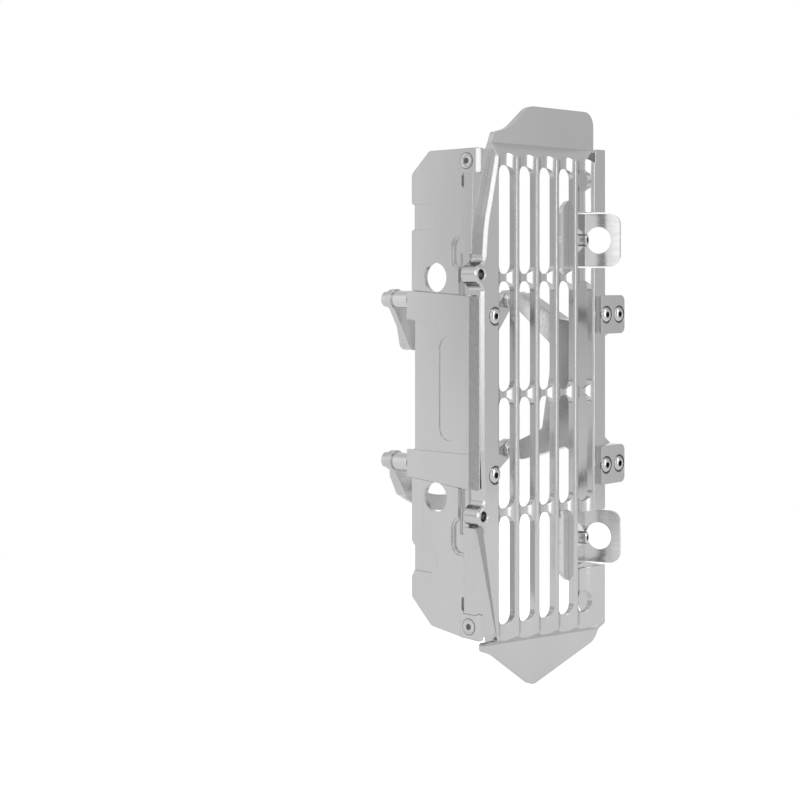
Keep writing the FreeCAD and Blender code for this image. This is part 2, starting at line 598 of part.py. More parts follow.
def claw_brace():
    """Frame-side claw: two feet on the ears, a narrow waist, two arms that reach back."""
    upper, lower = EAR_LEVELS
    half = EAR_HEIGHT / 2
    eye_up, eye_low = CLAW_EYE_LEVELS
    arm = CLAW_ARM_HEIGHT / 2
    front, end = EAR_BACK_Y, CLAW_END_Y
    face = [(front, upper + half, 1.5), (27.0, -33.6, 1.5), (33.0, -32.6, 2), (end, eye_up + arm, 2),
            (end, eye_up - arm, 1), (37.0, -48.5, 3), (43.5, -96.0, 3), (end, eye_low + arm, 1),
            (end, eye_low - arm, 2), (30.0, -105.5, 2), (front, lower - half, 1.5),
            (front, lower + half, 1.5), (28.5, -86.0, 12), (24.2, -52.0, 12), (front, upper - half, 1.5)]
    claw = slab(claw_plan(), "XY", -130, 0)
    claw = claw.common(slab(face, "YZ", FOOT_INNER_X - 25, EAR_RIGHT_X + 10))
    # Feet reach in behind the ears for the second screw of each pair.
    for level in EAR_LEVELS:
        foot = [(FOOT_INNER_X, front), (EAR_RIGHT_X - CLAW_THICK + 0.5, front),
                (EAR_RIGHT_X - CLAW_THICK + 0.5, 17.0), (FOOT_INNER_X, 13.5)]
        claw = claw.fuse(slab(foot, "XY", level - half, level + half))
    for point in ear_screw_faces():
        if point.x > GRILLE_WIDTH:
            claw = claw.cut(rod(point, Vector(0, 1, 0), M5_RADIUS, 24))
    for level in CLAW_EYE_LEVELS:
        claw = claw.cut(rod(Vector(CLAW_EYE_X, end, level), Vector(0, -1, 0), M5_RADIUS, EYE_THREAD + 0.5))
    return claw.removeSplitter()


def web(points, radius, low, high):
    """Flat plate around two or three points, with the same radius at every point."""
    piece = None
    count = len(points)
    for i in range(count):
        a = Vector(points[i][0], low, points[i][1])
        b = Vector(points[(i + 1) % count][0], low, points[(i + 1) % count][1])
        along = b - a
        across = along.cross(Vector(0, 1, 0))
        across.normalize()
        across = across * radius
        band = Part.Face(Part.makePolygon([a + across, b + across, b - across, a - across, a + across]))
        disc = rod(a, Vector(0, 1, 0), radius, high - low)
        part = disc.fuse(band.extrude(Vector(0, high - low, 0)))
        piece = part if piece is None else piece.fuse(part)
    if count > 2:
        loop = [Vector(x, low, z) for x, z in points]
        piece = piece.fuse(Part.Face(Part.makePolygon(loop + loop[:1])).extrude(Vector(0, high - low, 0)))
    return piece.removeSplitter()


def arch_band(start, middle, end, width, low, high):
    """Curved bar of even width whose centre line is the arc through three points."""
    through = [Vector(x, low, z) for x, z in (start, middle, end)]
    curve = Part.Arc(*through).toShape().Curve
    centre = curve.Center
    radius = curve.Radius
    ring = rod(centre, Vector(0, 1, 0), radius + width / 2, high - low)
    ring = ring.cut(rod(centre, Vector(0, 1, 0), radius - width / 2, high - low))
    reach = 3 * radius
    a = Vector(start[0], low, start[1]) - centre
    b = Vector(end[0], low, end[1]) - centre
    m = Vector(middle[0], low, middle[1]) - centre
    a.normalize()
    b.normalize()
    m.normalize()
    fan = [centre, centre + a * reach, centre + (a + m) * reach, centre + (m + b) * reach, centre + b * reach, centre]
    return ring.common(Part.Face(Part.makePolygon(fan)).extrude(Vector(0, high - low, 0)))


# Joint screws of each arm, as (x, z): the brace-side pair, then the claw-side pair
UPPER_JOINTS = [[(12.8, -32.6), (15.2, -43.6)], [(CLAW_EYE_X - 22.5, -38.4), (CLAW_EYE_X - 25.0, -50.6)]]
LOWER_JOINTS = [[(12.0, -123.2), (7.5, -114.6)], [(CLAW_EYE_X - 21.0, -122.6), (CLAW_EYE_X - 28.5, -119.6)]]
ARM_JOINTS = [UPPER_JOINTS, LOWER_JOINTS]
ARCH_MIDDLE_X = (BRACE_EYE_X + CLAW_EYE_X) / 2 - 7.25
ARCH_MIDDLES = [(ARCH_MIDDLE_X, -31.6), (ARCH_MIDDLE_X + 2.0, -134.4)]
JOINT_RADIUS = 4.6
JOINT_HOLE_RADIUS = 1.6
EYE_X = [BRACE_EYE_X, CLAW_EYE_X]
EYE_LEVELS = [BRACE_EYE_LEVELS, CLAW_EYE_LEVELS]
ARCH_Y = BRACE_LINK_Y + ARM_THICK
CLAW_LINK_Y = ARCH_Y + ARM_THICK


def joint_holes(points):
    return [rod(Vector(x, 0, z), Vector(0, 1, 0), JOINT_HOLE_RADIUS, 100) for x, z in points]


def arch_arm(index):
    """Arched bar across the back, with a two-screw lug at each end."""
    brace_pair, claw_pair = ARM_JOINTS[index]
    low, high = ARCH_Y, ARCH_Y + ARM_THICK
    start = brace_pair[1 - index]
    end = claw_pair[1 - index]
    arm = arch_band(start, ARCH_MIDDLES[index], end, ARCH_WIDTH, low, high)
    arm = arm.fuse([web(brace_pair, JOINT_RADIUS, low, high), web(claw_pair, JOINT_RADIUS, low, high)])
    return arm.cut(joint_holes(brace_pair + claw_pair)).removeSplitter()


def link(index, side):
    """Flat link from a spacer's eye to one end of an arch: side 0 is the brace, 1 the claw."""
    eye = (EYE_X[side], EYE_LEVELS[side][index])
    low = (BRACE_LINK_Y, CLAW_LINK_Y)[side]
    pair = ARM_JOINTS[index][side]
    piece = web([eye] + pair, JOINT_RADIUS, low, low + ARM_THICK)
    piece = piece.fuse(rod(Vector(eye[0], low, eye[1]), Vector(0, 1, 0), EYE_RADIUS, ARM_THICK))
    piece = piece.cut(rod(Vector(eye[0], 0, eye[1]), Vector(0, 1, 0), M5_RADIUS, 100))
    return piece.cut(joint_holes(pair)).removeSplitter()


def spacer(x, level, start, end):
    tube = rod(Vector(x, start, level), Vector(0, 1, 0), SPACER_RADIUS, end - start)
    return tube.cut(rod(Vector(x, start - 1, level), Vector(0, 1, 0), M5_RADIUS, end - start + 2))


WASHER_THICK = 3.0


def claw_spacer(index):
    return spacer(CLAW_EYE_X, CLAW_EYE_LEVELS[index], CLAW_END_Y, CLAW_LINK_Y - WASHER_THICK)


def brace_spacer(index):
    return spacer(BRACE_EYE_X, BRACE_EYE_LEVELS[index], BRACE_DEPTH, BRACE_LINK_Y)


def claw_washers():
    """Polished collars between the claw's spacers and the links."""
    rings = []
    for level in CLAW_EYE_LEVELS:
        start = Vector(CLAW_EYE_X, CLAW_LINK_Y - WASHER_THICK, level)
        ring = rod(start, Vector(0, 1, 0), SPACER_RADIUS + 0.7, WASHER_THICK)
        ring = ring.makeChamfer(0.6, [e for e in ring.Edges if e.BoundBox.XLength > 5])
        rings.append(ring.cut(rod(start - Vector(0, 1, 0), Vector(0, 1, 0), M5_RADIUS, WASHER_THICK + 2)))
    return Part.makeCompound(rings)


def eye_screws(side, seat_y, end_y):
    """Socket-head screws of one side, from the links' rear faces down to end_y."""
    out = Vector(0, 1, 0)
    return Part.makeCompound([cap_screw(Vector(EYE_X[side], seat_y, level), out, EYE_SCREW_HEAD, 5.0,
                                        M5_RADIUS, seat_y - end_y, 4.0)
                              for level in EYE_LEVELS[side]])


def joint_screws():
    """Small button screws that clamp the links to the arches."""
    screws = []
    for joints in ARM_JOINTS:
        for side, pair in enumerate(joints):
            seat = (ARCH_Y + ARM_THICK, CLAW_LINK_Y + ARM_THICK)[side]
            for x, z in pair:
                screws.append(cap_screw(Vector(x, seat, z), Vector(0, 1, 0), 2.7, 2.0, JOINT_HOLE_RADIUS,
                                        2 * ARM_THICK, 2.5))
    return Part.makeCompound(screws)


def margin_screws():
    out = Vector(0, -1, 0)
    return Part.makeCompound([flush_screw(Vector(x, 0, z), out, M5_HEAD_RADIUS, M5_RADIUS, 9, 3.0, HEAD_SINK)
                              for x, z in MARGIN_SCREWS])


def ear_screws():
    out = Vector(0, -1, 0)
    screws = []
    for face in ear_screw_faces():
        length = EAR_SCREW_LENGTHS[EAR_SCREW_X.index(face.x)]
        screws.append(flush_screw(face, out, M5_HEAD_RADIUS, M5_RADIUS, length, 3.0, HEAD_SINK))
    return Part.makeCompound(screws)


def side_plate_screws():
    out = Vector(-1, 0, 0)
    return Part.makeCompound([flush_screw(Vector(SIDE_OUTER_X - LUG_RAISE, y, z), out, 4.3, M4_RADIUS, 8.4, 2.5)
                              for y, z in SIDE_SCREWS])


def ramp_angle():
    return math.atan2(TAB_BEND[1] - PLATE_THICK - TAB_SHEET, TAB_BEND[0] - TAB_ROOT_X)


def ramp_seat(level):
    """Seat of the tab's screw on the ramp's front face, and the direction out of that face."""
    angle = ramp_angle()
    root = Vector(TAB_ROOT_X + TAB_SHEET * math.tan(angle / 2), PLATE_THICK, level)
    seat = root + Vector(math.cos(angle), math.sin(angle), 0) * TAB_SCREW_ALONG
    return seat, Vector(math.sin(angle), -math.cos(angle), 0)


def tab(index):
    """Bent sheet tab: base on the grille's back, a ramp out through the flange, and a leaf."""
    level = TAB_LEVELS[index]
    half = TAB_HEIGHT / 2
    y0 = PLATE_THICK
    ramp = ramp_angle()
    turn = math.radians(TAB_LEAF_ANGLE)
    out = Vector(-math.sin(turn), -math.cos(turn), 0)
    rear_end = leaf_point(level, TAB_LEAF_LENGTH)
    front_end = leaf_point(level, TAB_LEAF_LENGTH, TAB_SHEET)
    bisector = (turn - ramp) / 2
    inner = TAB_SHEET / math.cos((turn + ramp) / 2)
    inner_bend = (TAB_BEND[0] - inner * math.sin(bisector), TAB_BEND[1] - inner * math.cos(bisector))
    root_step = TAB_SHEET * math.tan(ramp / 2)
    section = [(TAB_BASE_X + 4, y0), (TAB_ROOT_X + root_step, y0, 3), inner_bend, (front_end.x, front_end.y),
               (rear_end.x, rear_end.y), (TAB_BEND[0], TAB_BEND[1], 3.0), (TAB_ROOT_X, y0 + TAB_SHEET, 1),
               (TAB_BASE_X + 4, y0 + TAB_SHEET)]
    strip = slab(section, "XY", level - half, level + half)
    corners = []
    for edge in strip.Edges:
        if edge.Length > TAB_SHEET + 0.1 or len(edge.Vertexes) < 2:
            continue
        run = edge.Vertexes[1].Point - edge.Vertexes[0].Point
        if abs(run.z) < 1e-6 and edge.BoundBox.YMax < 0:
            corners.append(edge)
    strip = strip.makeFillet(6.0, corners)
    high = TAB_BASE_HEIGHT / 2
    base = [(TAB_BASE_X, level + high - 5, 7), (TAB_BASE_X + 6, level + high, 6), (TAB_ROOT_X + 7.5, level + high, 1.2),
            (TAB_ROOT_X - 0.5, level + half + 1, 2), (TAB_ROOT_X - 0.5, level - half - 1, 2),
            (TAB_ROOT_X + 7.5, level - high, 1.2), (TAB_BASE_X + 6, level - high, 6), (TAB_BASE_X, level - high + 5, 7),
            (TAB_BASE_X, level - 1.8), (TAB_BASE_X + 0.9, level, 1), (TAB_BASE_X, level + 1.8)]
    piece = strip.fuse(slab(base, "XZ", y0, y0 + TAB_SHEET))
    hole = leaf_point(level, TAB_HOLE_FROM_BEND, -0.5)
    piece = piece.cut(rod(hole, out, TAB_HOLE_RADIUS, TAB_SHEET + 1))
    seat, away = ramp_seat(level)
    piece = piece.cut(rod(seat + away, away * -1, TAB_SCREW_RADIUS, TAB_SHEET + 2))
    # Relief holes where the ramp leaves the base.
    for side in (-1, 1):
        start = Vector(TAB_ROOT_X - 0.5, y0 - 1, level + side * half)
        piece = piece.cut(rod(start, Vector(0, 1, 0), 0.6, 6))
    return piece.removeSplitter()


def tab_screws():
    """Cap screws through the tabs' ramps, heads to the front."""
    screws = []
    for level in TAB_LEVELS:
        seat, away = ramp_seat(level)
        screws.append(cap_screw(seat, away, 3.5, 4.0, TAB_SCREW_RADIUS, TAB_SHEET + TAB_NUT_THICK + 1, 3.0))
    return Part.makeCompound(screws)


def tab_nuts():
    """Hexagon nuts behind the tabs' ramps."""
    nuts = []
    for level in TAB_LEVELS:
        seat, away = ramp_seat(level)
        back = seat - away * TAB_SHEET
        nut = hexagon(back, away * -1, 7.0, TAB_NUT_THICK)
        nuts.append(nut.cut(rod(back + away, away * -1, TAB_SCREW_RADIUS, TAB_NUT_THICK + 2)))
    return Part.makeCompound(nuts)


NODES = {
    "front_grille": front_grille,
    "side_plate": side_plate,
    "side_brace": side_brace,
    "claw_brace": claw_brace,
    "upper_arch_arm": lambda: arch_arm(0),
    "lower_arch_arm": lambda: arch_arm(1),
    "upper_brace_link": lambda: link(0, 0),
    "lower_brace_link": lambda: link(1, 0),
    "upper_claw_link": lambda: link(0, 1),
    "lower_claw_link": lambda: link(1, 1),
    "upper_claw_spacer": lambda: claw_spacer(0),
    "lower_claw_spacer": lambda: claw_spacer(1),
    "upper_brace_spacer": lambda: brace_spacer(0),
    "lower_brace_spacer": lambda: brace_spacer(1),
    "claw_collars": claw_washers,
    "brace_eye_screws": lambda: eye_screws(0, BRACE_LINK_Y + ARM_THICK, BLOCK_FRONT_Y + 0.5),
    "claw_eye_screws": lambda: eye_screws(1, CLAW_LINK_Y + ARM_THICK, CLAW_END_Y - EYE_THREAD),
    "link_screws": joint_screws,
    "margin_screws": margin_screws,
    "ear_screws": ear_screws,
    "side_plate_screws": side_plate_screws,
    "upper_tab": lambda: tab(0),
    "lower_tab": lambda: tab(1),
    "tab_screws": tab_screws,
    "tab_nuts": tab_nuts,
}


def main():
    os.makedirs("parts", exist_ok=True)
    for name, build in NODES.items():
        shape = build()
        shape.translate(ORIGIN * -1)
        shape.exportStep("parts/" + name + ".step")
        print(name, "solids", len(shape.Solids), "valid", shape.isValid(), "volume", round(shape.Volume))


main()
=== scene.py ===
"""Looks of the radiator grille: satin, turned and brushed aluminium, bright screws, pale studio."""

import math

import bmesh
import bpy
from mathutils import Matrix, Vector


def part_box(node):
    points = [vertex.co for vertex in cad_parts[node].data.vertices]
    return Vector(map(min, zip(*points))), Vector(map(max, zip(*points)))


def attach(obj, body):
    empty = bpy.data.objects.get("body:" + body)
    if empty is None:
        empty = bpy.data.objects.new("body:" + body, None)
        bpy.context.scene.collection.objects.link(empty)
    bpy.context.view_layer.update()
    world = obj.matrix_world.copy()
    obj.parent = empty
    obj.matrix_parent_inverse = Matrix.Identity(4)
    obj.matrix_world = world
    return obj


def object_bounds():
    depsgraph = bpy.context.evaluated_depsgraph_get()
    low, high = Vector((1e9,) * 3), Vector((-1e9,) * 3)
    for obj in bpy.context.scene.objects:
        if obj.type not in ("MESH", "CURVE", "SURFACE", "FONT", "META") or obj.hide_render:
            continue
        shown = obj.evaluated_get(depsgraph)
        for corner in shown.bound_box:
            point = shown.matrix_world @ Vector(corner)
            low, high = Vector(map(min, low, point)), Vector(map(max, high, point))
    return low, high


MM = 0.001
X_AXIS, Y_AXIS = 0, 1

# Where the photograph was taken from: place in millimetres from the upper tab's hole, heading in degrees
CAMERA_PLACE = (-773.8, -569.0, -15.1)
CAMERA_YAW = 47.0
CAMERA_LENS = 76.5
CAMERA_SENSOR = 36.0
CAMERA_SHIFT_Y = -0.166
CAMERA_CLIP = (0.01, 50.0)

# Finishes: darkest and lightest grey, roughness, stretch of the grain along X, Y and Z, scale of the
# grain per metre, then its depth and the radius of the broken edges in millimetres
FINISHES = {
    "satin_aluminium": (0.60, 0.63, 0.14, (1, 1, 0.25), 1500, 0.003, 0.45),
    "milled_plate": (0.61, 0.64, 0.15, (1, 1, 0.02), 900, 0.003, 0.50),
    "turned_aluminium": (0.64, 0.70, 0.12, (1, 0.2, 1), 900, 0.003, 0.20),
    "stainless_steel": (0.58, 0.66, 0.10, (1, 1, 1), 1200, 0.002, 0.10),
    "brushed_tab_sheet": (0.72, 0.76, 0.14, (0.03, 0.03, 1), 1500, 0.003, 0.20),
    # The last finish is near-black painted shade, for the screw sockets and the rings round the heads.
    "painted_screw_shade": (0.10, 0.16, 0.30, (1, 1, 1), 1200, 0.002, 0.10),
}
FINISHED = {
    "satin_aluminium": ["front_grille", "side_brace", "claw_brace", "upper_arch_arm", "lower_arch_arm",
                        "upper_brace_link", "lower_brace_link", "upper_claw_link", "lower_claw_link"],
    "milled_plate": ["side_plate"],
    "turned_aluminium": ["upper_claw_spacer", "lower_claw_spacer", "upper_brace_spacer",
                         "lower_brace_spacer", "claw_collars"],
    "stainless_steel": ["brace_eye_screws", "claw_eye_screws", "link_screws", "margin_screws",
                        "ear_screws", "side_plate_screws", "tab_screws", "tab_nuts"],
    "brushed_tab_sheet": ["upper_tab", "lower_tab"],
}

# Broad clouds in the grey, and how far the grain changes roughness and normal
CLOUD_SCALE = 26
CLOUD_STRETCH = (1, 1, 0.35)
NOISE_DETAIL = 3
NOISE_LOW, NOISE_HIGH = 0.3, 0.7
SMOOTHER, ROUGHER = -0.04, 0.05
GRAIN_STRENGTH = 0.5
EDGE_SAMPLES = 4
COOL_BLUE = 1.005

# Screw heads: half widths and heights in millimetres, from the rim to the socket
SEGMENTS = 48
SHARP_ANGLE = 40
SOCKET_REACH = 1.75
SOCKET_LIP = 0.1
SUNK_NODES = ["margin_screws", "ear_screws"]
SUNK_RADIUS = 4.4
SUNK_SOCKET = 1.6
SUNK_HEAD = [(4.25, 0.05), (4.2, 0.45), (3.9, 0.95), (3.3, 1.4), (2.6, 1.7), (2.1, 1.8)]
# The next ring is a thin dark sheet round each sunk head: painted shade in the hole.
SUNK_SHADE_RING = [(4.98, 0.04), (4.98, 0.06), (4.2, 0.06)]
FLAT_RADIUS = 4.2
FLAT_SOCKET = 0.22
FLAT_HEAD = [(4.0, 0.02), (3.95, 0.16), (3.3, 0.2), (3.2, 0.1), (3.0, 0.1), (2.9, 0.22), (2.2, 0.25)]
# The next ring is a thin dark sheet round each flat head: painted shade in the hole.
FLAT_SHADE_RING = [(4.3, 0.01), (4.3, 0.03), (3.9, 0.03)]
AHEAD = (0, -1, 0)
OUTWARD = (-1, 0, 0)

# Cheeks that fill the corner between the outer wall and the side plate, in millimetres from the
# grille's corner: levels with the X of the wall's outer face, then the Y of the cheek's front face at
# the first and the last level
GRILLE_CORNER = Vector((-106.7074, -4.4835, -12.1))
CHEEK_OUTER_X = -1.85
CHEEK_REAR_Y = 10.6
CHEEK_SINK = 0.1
UPPER_CHEEK = [(3.9, 2.1), (14.5, 3.0), (23.3, 4.5), (33.7, 7.3), (44.1, 9.7), (54.9, 12.4), (58.4, 14.1)]
UPPER_CHEEK_FRONT = (5.6, 4.2)
LOWER_CHEEK = [(-194.0, 13.5), (-180.0, 10.8), (-165.0, 7.9), (-150.0, 5.0), (-141.0, 3.2), (-137.5, 2.9)]
LOWER_CHEEK_FRONT = (1.8, 3.8)

# Lamps: place, width and height in metres, watts, and whether the metal mirrors the lamp. One stands to
# the right of the photographer, one far to the left and one hangs overhead.
LAMP_TARGET = Vector((-0.05, 0.03, -0.08))
LAMPS = {
    "right": ((0.55, -1.35, 0.15), (0.35, 1.0), 3, True),
    "left": ((-1.7, 0.35, 0.1), (0.5, 1.0), 5, False),
    "top": ((-0.3, -0.2, 1.6), (1.2, 1.2), 6, True),
}

# Brightness of the room that the metal mirrors, by compass direction in degrees from +X: white panels
# and dark screens at eye level, and what lies below them
ROOM = [(5, 0.70), (36, 0.90), (60, 0.85), (100, 0.85), (128, 1.04), (137, 1.02), (138.3, 0.88),
        (139.6, 0.56), (147, 0.50), (160, 0.60), (169, 1.15), (176, 1.30), (196, 1.30), (204, 0.34),
        (213, 0.34), (218, 0.80), (225, 1.00), (231, 1.70), (238, 1.75), (246, 0.60), (277, 0.62),
        (284, 1.75), (306, 1.75), (312, 0.60), (317, 0.68), (321, 0.69), (325, 0.60), (350, 0.62)]
ROOM_LOW = [(0, 1.10), (36, 1.05), (78, 0.86), (130, 0.95), (138, 0.93), (140, 0.84), (150, 0.66),
            (165, 0.38), (205, 0.38), (213, 0.42), (218, 1.00), (225, 1.05), (231, 0.72), (240, 0.72),
            (270, 0.76), (284, 0.95), (306, 0.84), (315, 0.74), (321, 0.74), (326, 0.64), (345, 0.70)]
ROOM_STEEP = 0.60
# Between these heights of a direction of length 1 the eye level turns into what lies below, and the
# sides turn into the plain grey straight up and down.
LOW_FROM, LOW_TO = -0.11, -0.03
STEEP_FROM, STEEP_TO = 0.35, 0.9
FILL_LIGHT = 0.7
WHITE = 1.0

# Floor: how far it lies under the lowest point in millimetres, half its side in metres, its grey, the
# glow that shows it white, and how much of that glow the metal mirrors
FLOOR_GAP = 14.0
FLOOR_HALF = 0.6
FLOOR_GREY = 0.8
FLOOR_GLOW = 0.6
FLOOR_MIRRORED = 0.25


def new_material(name):
    """A material with its node tree and its shader."""
    material = bpy.data.materials.new(name)
    material.use_nodes = True
    tree = material.node_tree
    return material, tree, tree.nodes["Principled BSDF"]


def add(tree, kind, **settings):
    """A new node with these settings."""
    node = tree.nodes.new(kind)
    for key, value in settings.items():
        setattr(node, key, value)
    return node


def grey(level):
    return (level, level, level, 1)


def noise(tree, scale, stretch):
    """Noise in the part's own space, stretched along its axes. Scale is per metre."""
    place = add(tree, "ShaderNodeTexCoord")
    mapping = add(tree, "ShaderNodeMapping")
    mapping.inputs["Scale"].default_value = stretch
    texture = add(tree, "ShaderNodeTexNoise")
    texture.inputs["Scale"].default_value = scale
    texture.inputs["Detail"].default_value = NOISE_DETAIL
    tree.links.new(place.outputs["Object"], mapping.inputs["Vector"])
    tree.links.new(mapping.outputs["Vector"], texture.inputs["Vector"])
    return texture.outputs["Fac"]


def spread(tree, value, low, high, start=NOISE_LOW, end=NOISE_HIGH):
    """Spread a value from start to end over a range from low to high."""
    node = add(tree, "ShaderNodeMapRange")
    node.inputs["From Min"].default_value = start
    node.inputs["From Max"].default_value = end
    node.inputs["To Min"].default_value = low
    node.inputs["To Max"].default_value = high
    tree.links.new(value, node.inputs["Value"])
    return node.outputs["Result"]


def tint(tree, value, dark, light):
    """Grey between two levels, chosen by a noise value."""
    mix = add(tree, "ShaderNodeMix", data_type="RGBA")
    mix.inputs["A"].default_value = (dark, dark, dark * COOL_BLUE, 1)
    mix.inputs["B"].default_value = (light, light, light * COOL_BLUE, 1)
    tree.links.new(spread(tree, value, 0, 1), mix.inputs["Factor"])
    return mix.outputs["Result"]


def metal(name, dark, light, rough, stretch, grain, grain_depth, edge_radius):
    """Aluminium or steel with a directional grain and softly broken edges."""
    material, tree, shader = new_material(name)
    shader.inputs["Metallic"].default_value = 1.0
    clouds = noise(tree, CLOUD_SCALE, CLOUD_STRETCH)
    fine = noise(tree, grain, stretch)
    tree.links.new(tint(tree, clouds, dark, light), shader.inputs["Base Color"])
    roughness = spread(tree, fine, rough + SMOOTHER, rough + ROUGHER)
    tree.links.new(roughness, shader.inputs["Roughness"])
    round_edge = add(tree, "ShaderNodeBevel", samples=EDGE_SAMPLES)
    round_edge.inputs["Radius"].default_value = edge_radius * MM
    bump = add(tree, "ShaderNodeBump")
    bump.inputs["Strength"].default_value = GRAIN_STRENGTH
    bump.inputs["Distance"].default_value = grain_depth * MM
    tree.links.new(fine, bump.inputs["Height"])
    tree.links.new(round_edge.outputs["Normal"], bump.inputs["Normal"])
    tree.links.new(bump.outputs["Normal"], shader.inputs["Normal"])
    return material


def dress_solids(nodes, metals):
    """Give each CAD piece its finish."""
    for finish, names in FINISHED.items():
        for name in names:
            mesh = nodes[name].data
            mesh.materials.clear()
            mesh.materials.append(metals[finish])


def join(shape, loops):
    """Faces between each loop of points and the next."""
    for lower, upper in zip(loops, loops[1:]):
        for k in range(len(lower)):
            after = (k + 1) % len(lower)
            shape.faces.new((lower[k], lower[after], upper[after], upper[k]))


def finished_mesh(name, shape, materials):
    """Mesh of a shape, with its faces turned outward and its materials."""
    bmesh.ops.recalc_face_normals(shape, faces=shape.faces)
    mesh = bpy.data.meshes.new(name)
    shape.to_mesh(mesh)
    shape.free()
    for material in materials:
        mesh.materials.append(material)
    return mesh


def add_piece(mesh):
    """Piece of the grille's body."""
    piece = bpy.data.objects.new(mesh.name, mesh)
    bpy.context.scene.collection.objects.link(piece)
    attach(piece, "root")


def hexagon(angle):
    """Distance from a hexagon's centre to its edge, as a share of the distance to its corners."""
    half_side = math.pi / 6
    return math.cos(half_side) / math.cos(angle % (2 * half_side) - half_side)


def turned_ring(name, profile, centre, out, metals, finish, socket_depth=0.0):
    """Ring turned around 'out' through a centre. With a socket depth a hexagon socket closes it."""
    rings = [(radius, height, False) for radius, height in profile]
    if socket_depth:
        top = profile[-1][1]
        rings.append((SOCKET_REACH, top - SOCKET_LIP, True))
        rings.append((SOCKET_REACH, top - socket_depth, True))
    shape = bmesh.new()
    lean = Vector((0, 0, 1)).rotation_difference(Vector(out))
    loops = []
    for radius, height, six_sided in rings:
        loop = []
        for k in range(SEGMENTS):
            angle = 2 * math.pi * k / SEGMENTS
            reach = radius * hexagon(angle) if six_sided else radius
            point = lean @ Vector((reach * math.cos(angle), reach * math.sin(angle), height))
            loop.append(shape.verts.new(centre + point * MM))
        loops.append(loop)
    join(shape, loops)
    if socket_depth:
        shape.faces.new(loops[-1])
    mesh = finished_mesh(name, shape, [metals[finish], metals["painted_screw_shade"]])
    mesh.shade_smooth()
    mesh.set_sharp_from_angle(angle=math.radians(SHARP_ANGLE))
    if socket_depth:
        # The socket's walls and floor come last and take the near-black painted shade.
        for face in mesh.polygons[-SEGMENTS - 1:]:
            face.material_index = 1
    add_piece(mesh)


def head_centres(node, radius, facing):
    """Centres of a node's flush heads, which lie in its box's corners. They look back along 'facing'."""
    low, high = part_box(node)
    first, second = [axis for axis in range(3) if axis != facing]
    inset = radius * MM
    centres = []
    for along in (low[first] + inset, high[first] - inset):
        for up in (low[second] + inset, high[second] - inset):
            centre = Vector(low)
            centre[first] = along
            centre[second] = up
            if all((centre - other).length > MM for other in centres):
                centres.append(centre)
    return centres


def dress_screws(metals):
    """Domed heads in the sunk holes, and shallow ones with a turned groove in the side plate's lugs, each
    with a thin dark ring of painted shade round it.
    """
    for node in SUNK_NODES:
        for k, centre in enumerate(head_centres(node, SUNK_RADIUS, Y_AXIS)):
            head, shade_ring = f"{node}_head_{k}", f"{node}_gap_{k}"
            turned_ring(head, SUNK_HEAD, centre, AHEAD, metals, "stainless_steel", SUNK_SOCKET)
            turned_ring(shade_ring, SUNK_SHADE_RING, centre, AHEAD, metals, "painted_screw_shade")
    # The side plate's two screws are at opposite corners of their box.
    corners = head_centres("side_plate_screws", FLAT_RADIUS, X_AXIS)
    for k, centre in enumerate((corners[0], corners[-1])):
        head, shade_ring = f"side_head_{k}", f"side_gap_{k}"
        turned_ring(head, FLAT_HEAD, centre, OUTWARD, metals, "stainless_steel", FLAT_SOCKET)
        turned_ring(shade_ring, FLAT_SHADE_RING, centre, OUTWARD, metals, "painted_screw_shade")


def cheek(name, levels, fronts, metals):
    """Closed bar with a rectangular section whose inner side follows the outer wall."""
    shape = bmesh.new()
    loops = []
    start, end = levels[0][0], levels[-1][0]
    for level, wall_x in levels:
        inner = wall_x + CHEEK_SINK
        front = fronts[0] + (fronts[1] - fronts[0]) * (level - start) / (end - start)
        section = [(CHEEK_OUTER_X, CHEEK_REAR_Y), (CHEEK_OUTER_X, front),
                   (inner, front), (inner, CHEEK_REAR_Y)]
        loops.append([shape.verts.new((GRILLE_CORNER + Vector((x, y, level))) * MM) for x, y in section])
    join(shape, loops)
    shape.faces.new(loops[0])
    shape.faces.new(loops[-1])
    add_piece(finished_mesh(name, shape, [metals["satin_aluminium"]]))


def make_camera():
    data = bpy.data.cameras.new("camera")
    data.lens = CAMERA_LENS
    data.sensor_width = CAMERA_SENSOR
    data.shift_y = CAMERA_SHIFT_Y
    data.clip_start, data.clip_end = CAMERA_CLIP
    camera = bpy.data.objects.new("camera", data)
    camera.location = Vector(CAMERA_PLACE) * MM
    camera.rotation_euler = (math.radians(90), 0, math.radians(-CAMERA_YAW))
    bpy.context.scene.collection.objects.link(camera)
    bpy.context.scene.camera = camera


def make_lamps():
    for name, (place, size, watts, mirrored) in LAMPS.items():
        data = bpy.data.lights.new(name, "AREA")
        data.shape = "RECTANGLE"
        data.size, data.size_y = size
        data.energy = watts
        lamp = bpy.data.objects.new(name, data)
        lamp.location = place
        lamp.rotation_euler = (LAMP_TARGET - Vector(place)).to_track_quat("-Z", "Y").to_euler()
        lamp.visible_glossy = mirrored
        bpy.context.scene.collection.objects.link(lamp)


def backdrop_rays(tree):
    """The kinds of ray, and 1 for those that show the backdrop as it is: camera and transmission rays."""
    path = add(tree, "ShaderNodeLightPath")
    largest = add(tree, "ShaderNodeMath", operation="MAXIMUM")
    tree.links.new(path.outputs["Is Camera Ray"], largest.inputs[0])
    tree.links.new(path.outputs["Is Transmission Ray"], largest.inputs[1])
    return path, largest.outputs["Value"]


def background(tree, strength):
    node = add(tree, "ShaderNodeBackground")
    node.inputs["Color"].default_value = grey(WHITE)
    node.inputs["Strength"].default_value = strength
    return node


def either(tree, choice, first, second, target):
    """Send one of two shaders to a socket, chosen by a value."""
    mix = add(tree, "ShaderNodeMixShader")
    tree.links.new(choice, mix.inputs["Fac"])
    tree.links.new(first, mix.inputs[1])
    tree.links.new(second, mix.inputs[2])
    tree.links.new(mix.outputs["Shader"], target)


